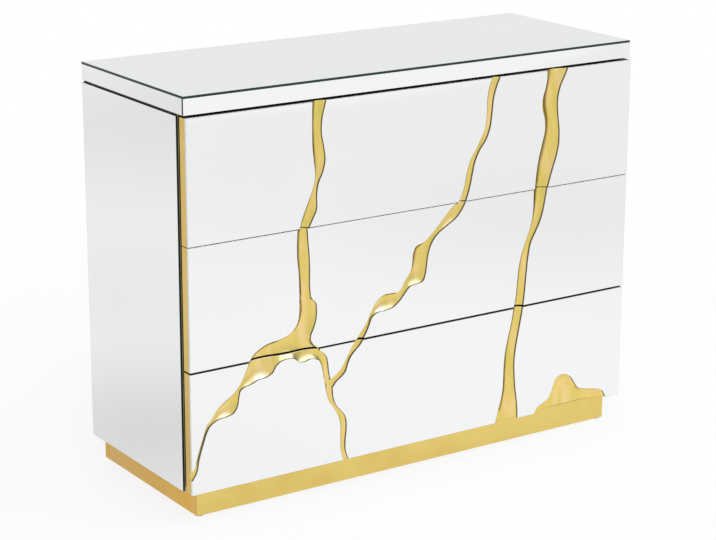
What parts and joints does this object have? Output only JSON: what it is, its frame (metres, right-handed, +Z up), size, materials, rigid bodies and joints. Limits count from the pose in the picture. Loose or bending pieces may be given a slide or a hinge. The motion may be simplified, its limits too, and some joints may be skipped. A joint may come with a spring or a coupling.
{
  "type": "mirrored chest of drawers",
  "caption": "Rectangular mirrored chest of push-to-open drawers, with gold veins carved through the glass fronts and a set-back gold plinth.",
  "frame": {"origin": "on the floor, under the middle of the chest's bounding box", "axes": "+X to the right as seen from the front, +Y towards the back, +Z up; the drawers open along -Y"},
  "size_m": [1, 0.385, 0.785],
  "materials": {
    "mirror_glass": "polished silvered glass with ground edges",
    "gold_lacquered_board": "gold leaf under semi-gloss lacquer",
    "drawer_board": "satin clear lacquer",
    "carcass_board": "matt sealed board",
    "clear_nylon": "translucent, smooth",
    "grey_nylon": "moulded matt",
    "zinc_steel": "bright zinc plate",
    "plated_screw": "zinc-plated"
  },
  "bodies": {
    "carcass": {"back_panel": "carcass_board", "bottom_board": "carcass_board", "carcass_screws": "plated_screw", "cross_rails": "carcass_board", "glides": "clear_nylon", "plinth_back": "gold_lacquered_board", "plinth_corner_blocks": "carcass_board", "plinth_front": "gold_lacquered_board", "plinth_left": "gold_lacquered_board", "plinth_right": "gold_lacquered_board", "runner_cabinet_members": "zinc_steel", "runner_rebound_units": "grey_nylon", "runner_screws": "plated_screw", "side_board_left": "carcass_board", "side_board_right": "carcass_board", "side_mirror_left": "mirror_glass", "side_mirror_right": "mirror_glass", "top_board": "carcass_board", "top_edge_mirrors": "mirror_glass", "top_mirror": "mirror_glass"},
    "bottom_drawer": {"bottom_drawer_box_back": "drawer_board", "bottom_drawer_box_bottom": "drawer_board", "bottom_drawer_box_front": "drawer_board", "bottom_drawer_box_side_left": "drawer_board", "bottom_drawer_box_side_right": "drawer_board", "bottom_drawer_front_board": "gold_lacquered_board", "bottom_drawer_pane_1": "mirror_glass", "bottom_drawer_pane_2": "mirror_glass", "bottom_drawer_pane_3": "mirror_glass", "bottom_drawer_pane_4": "mirror_glass", "bottom_drawer_pane_5": "mirror_glass", "bottom_drawer_runner_members": "zinc_steel", "bottom_drawer_screws": "plated_screw"},
    "bottom_drawer_middles": {"bottom_drawer_runner_middles": "zinc_steel"},
    "middle_drawer": {"middle_drawer_box_back": "drawer_board", "middle_drawer_box_bottom": "drawer_board", "middle_drawer_box_front": "drawer_board", "middle_drawer_box_side_left": "drawer_board", "middle_drawer_box_side_right": "drawer_board", "middle_drawer_front_board": "gold_lacquered_board", "middle_drawer_pane_1": "mirror_glass", "middle_drawer_pane_2": "mirror_glass", "middle_drawer_pane_3": "mirror_glass", "middle_drawer_pane_4": "mirror_glass", "middle_drawer_runner_members": "zinc_steel", "middle_drawer_screws": "plated_screw"},
    "middle_drawer_middles": {"middle_drawer_runner_middles": "zinc_steel"},
    "top_drawer": {"top_drawer_box_back": "drawer_board", "top_drawer_box_bottom": "drawer_board", "top_drawer_box_front": "drawer_board", "top_drawer_box_side_left": "drawer_board", "top_drawer_box_side_right": "drawer_board", "top_drawer_front_board": "gold_lacquered_board", "top_drawer_pane_1": "mirror_glass", "top_drawer_pane_2": "mirror_glass", "top_drawer_pane_3": "mirror_glass", "top_drawer_pane_4": "mirror_glass", "top_drawer_runner_members": "zinc_steel", "top_drawer_screws": "plated_screw"},
    "top_drawer_middles": {"top_drawer_runner_middles": "zinc_steel"}
  },
  "joints": [
    {"name": "bottom_drawer_slide", "type": "slide", "parent": "carcass", "child": "bottom_drawer", "axis": [0, -1, 0], "range_m": [-0.003, 0.33]},
    {"name": "bottom_drawer_middles_slide", "type": "slide", "parent": "carcass", "child": "bottom_drawer_middles", "axis": [0, -1, 0], "range_m": [-0.002, 0.166]},
    {"name": "middle_drawer_slide", "type": "slide", "parent": "carcass", "child": "middle_drawer", "axis": [0, -1, 0], "range_m": [-0.003, 0.33]},
    {"name": "middle_drawer_middles_slide", "type": "slide", "parent": "carcass", "child": "middle_drawer_middles", "axis": [0, -1, 0], "range_m": [-0.002, 0.166]},
    {"name": "top_drawer_slide", "type": "slide", "parent": "carcass", "child": "top_drawer", "axis": [0, -1, 0], "range_m": [-0.003, 0.33]},
    {"name": "top_drawer_middles_slide", "type": "slide", "parent": "carcass", "child": "top_drawer_middles", "axis": [0, -1, 0], "range_m": [-0.002, 0.166]}
  ],
  "couplings": [
    {"joint": "bottom_drawer_middles_slide", "follows": "bottom_drawer_slide", "ratio": 0.5},
    {"joint": "middle_drawer_middles_slide", "follows": "middle_drawer_slide", "ratio": 0.5},
    {"joint": "top_drawer_middles_slide", "follows": "top_drawer_slide", "ratio": 0.5}
  ]
}
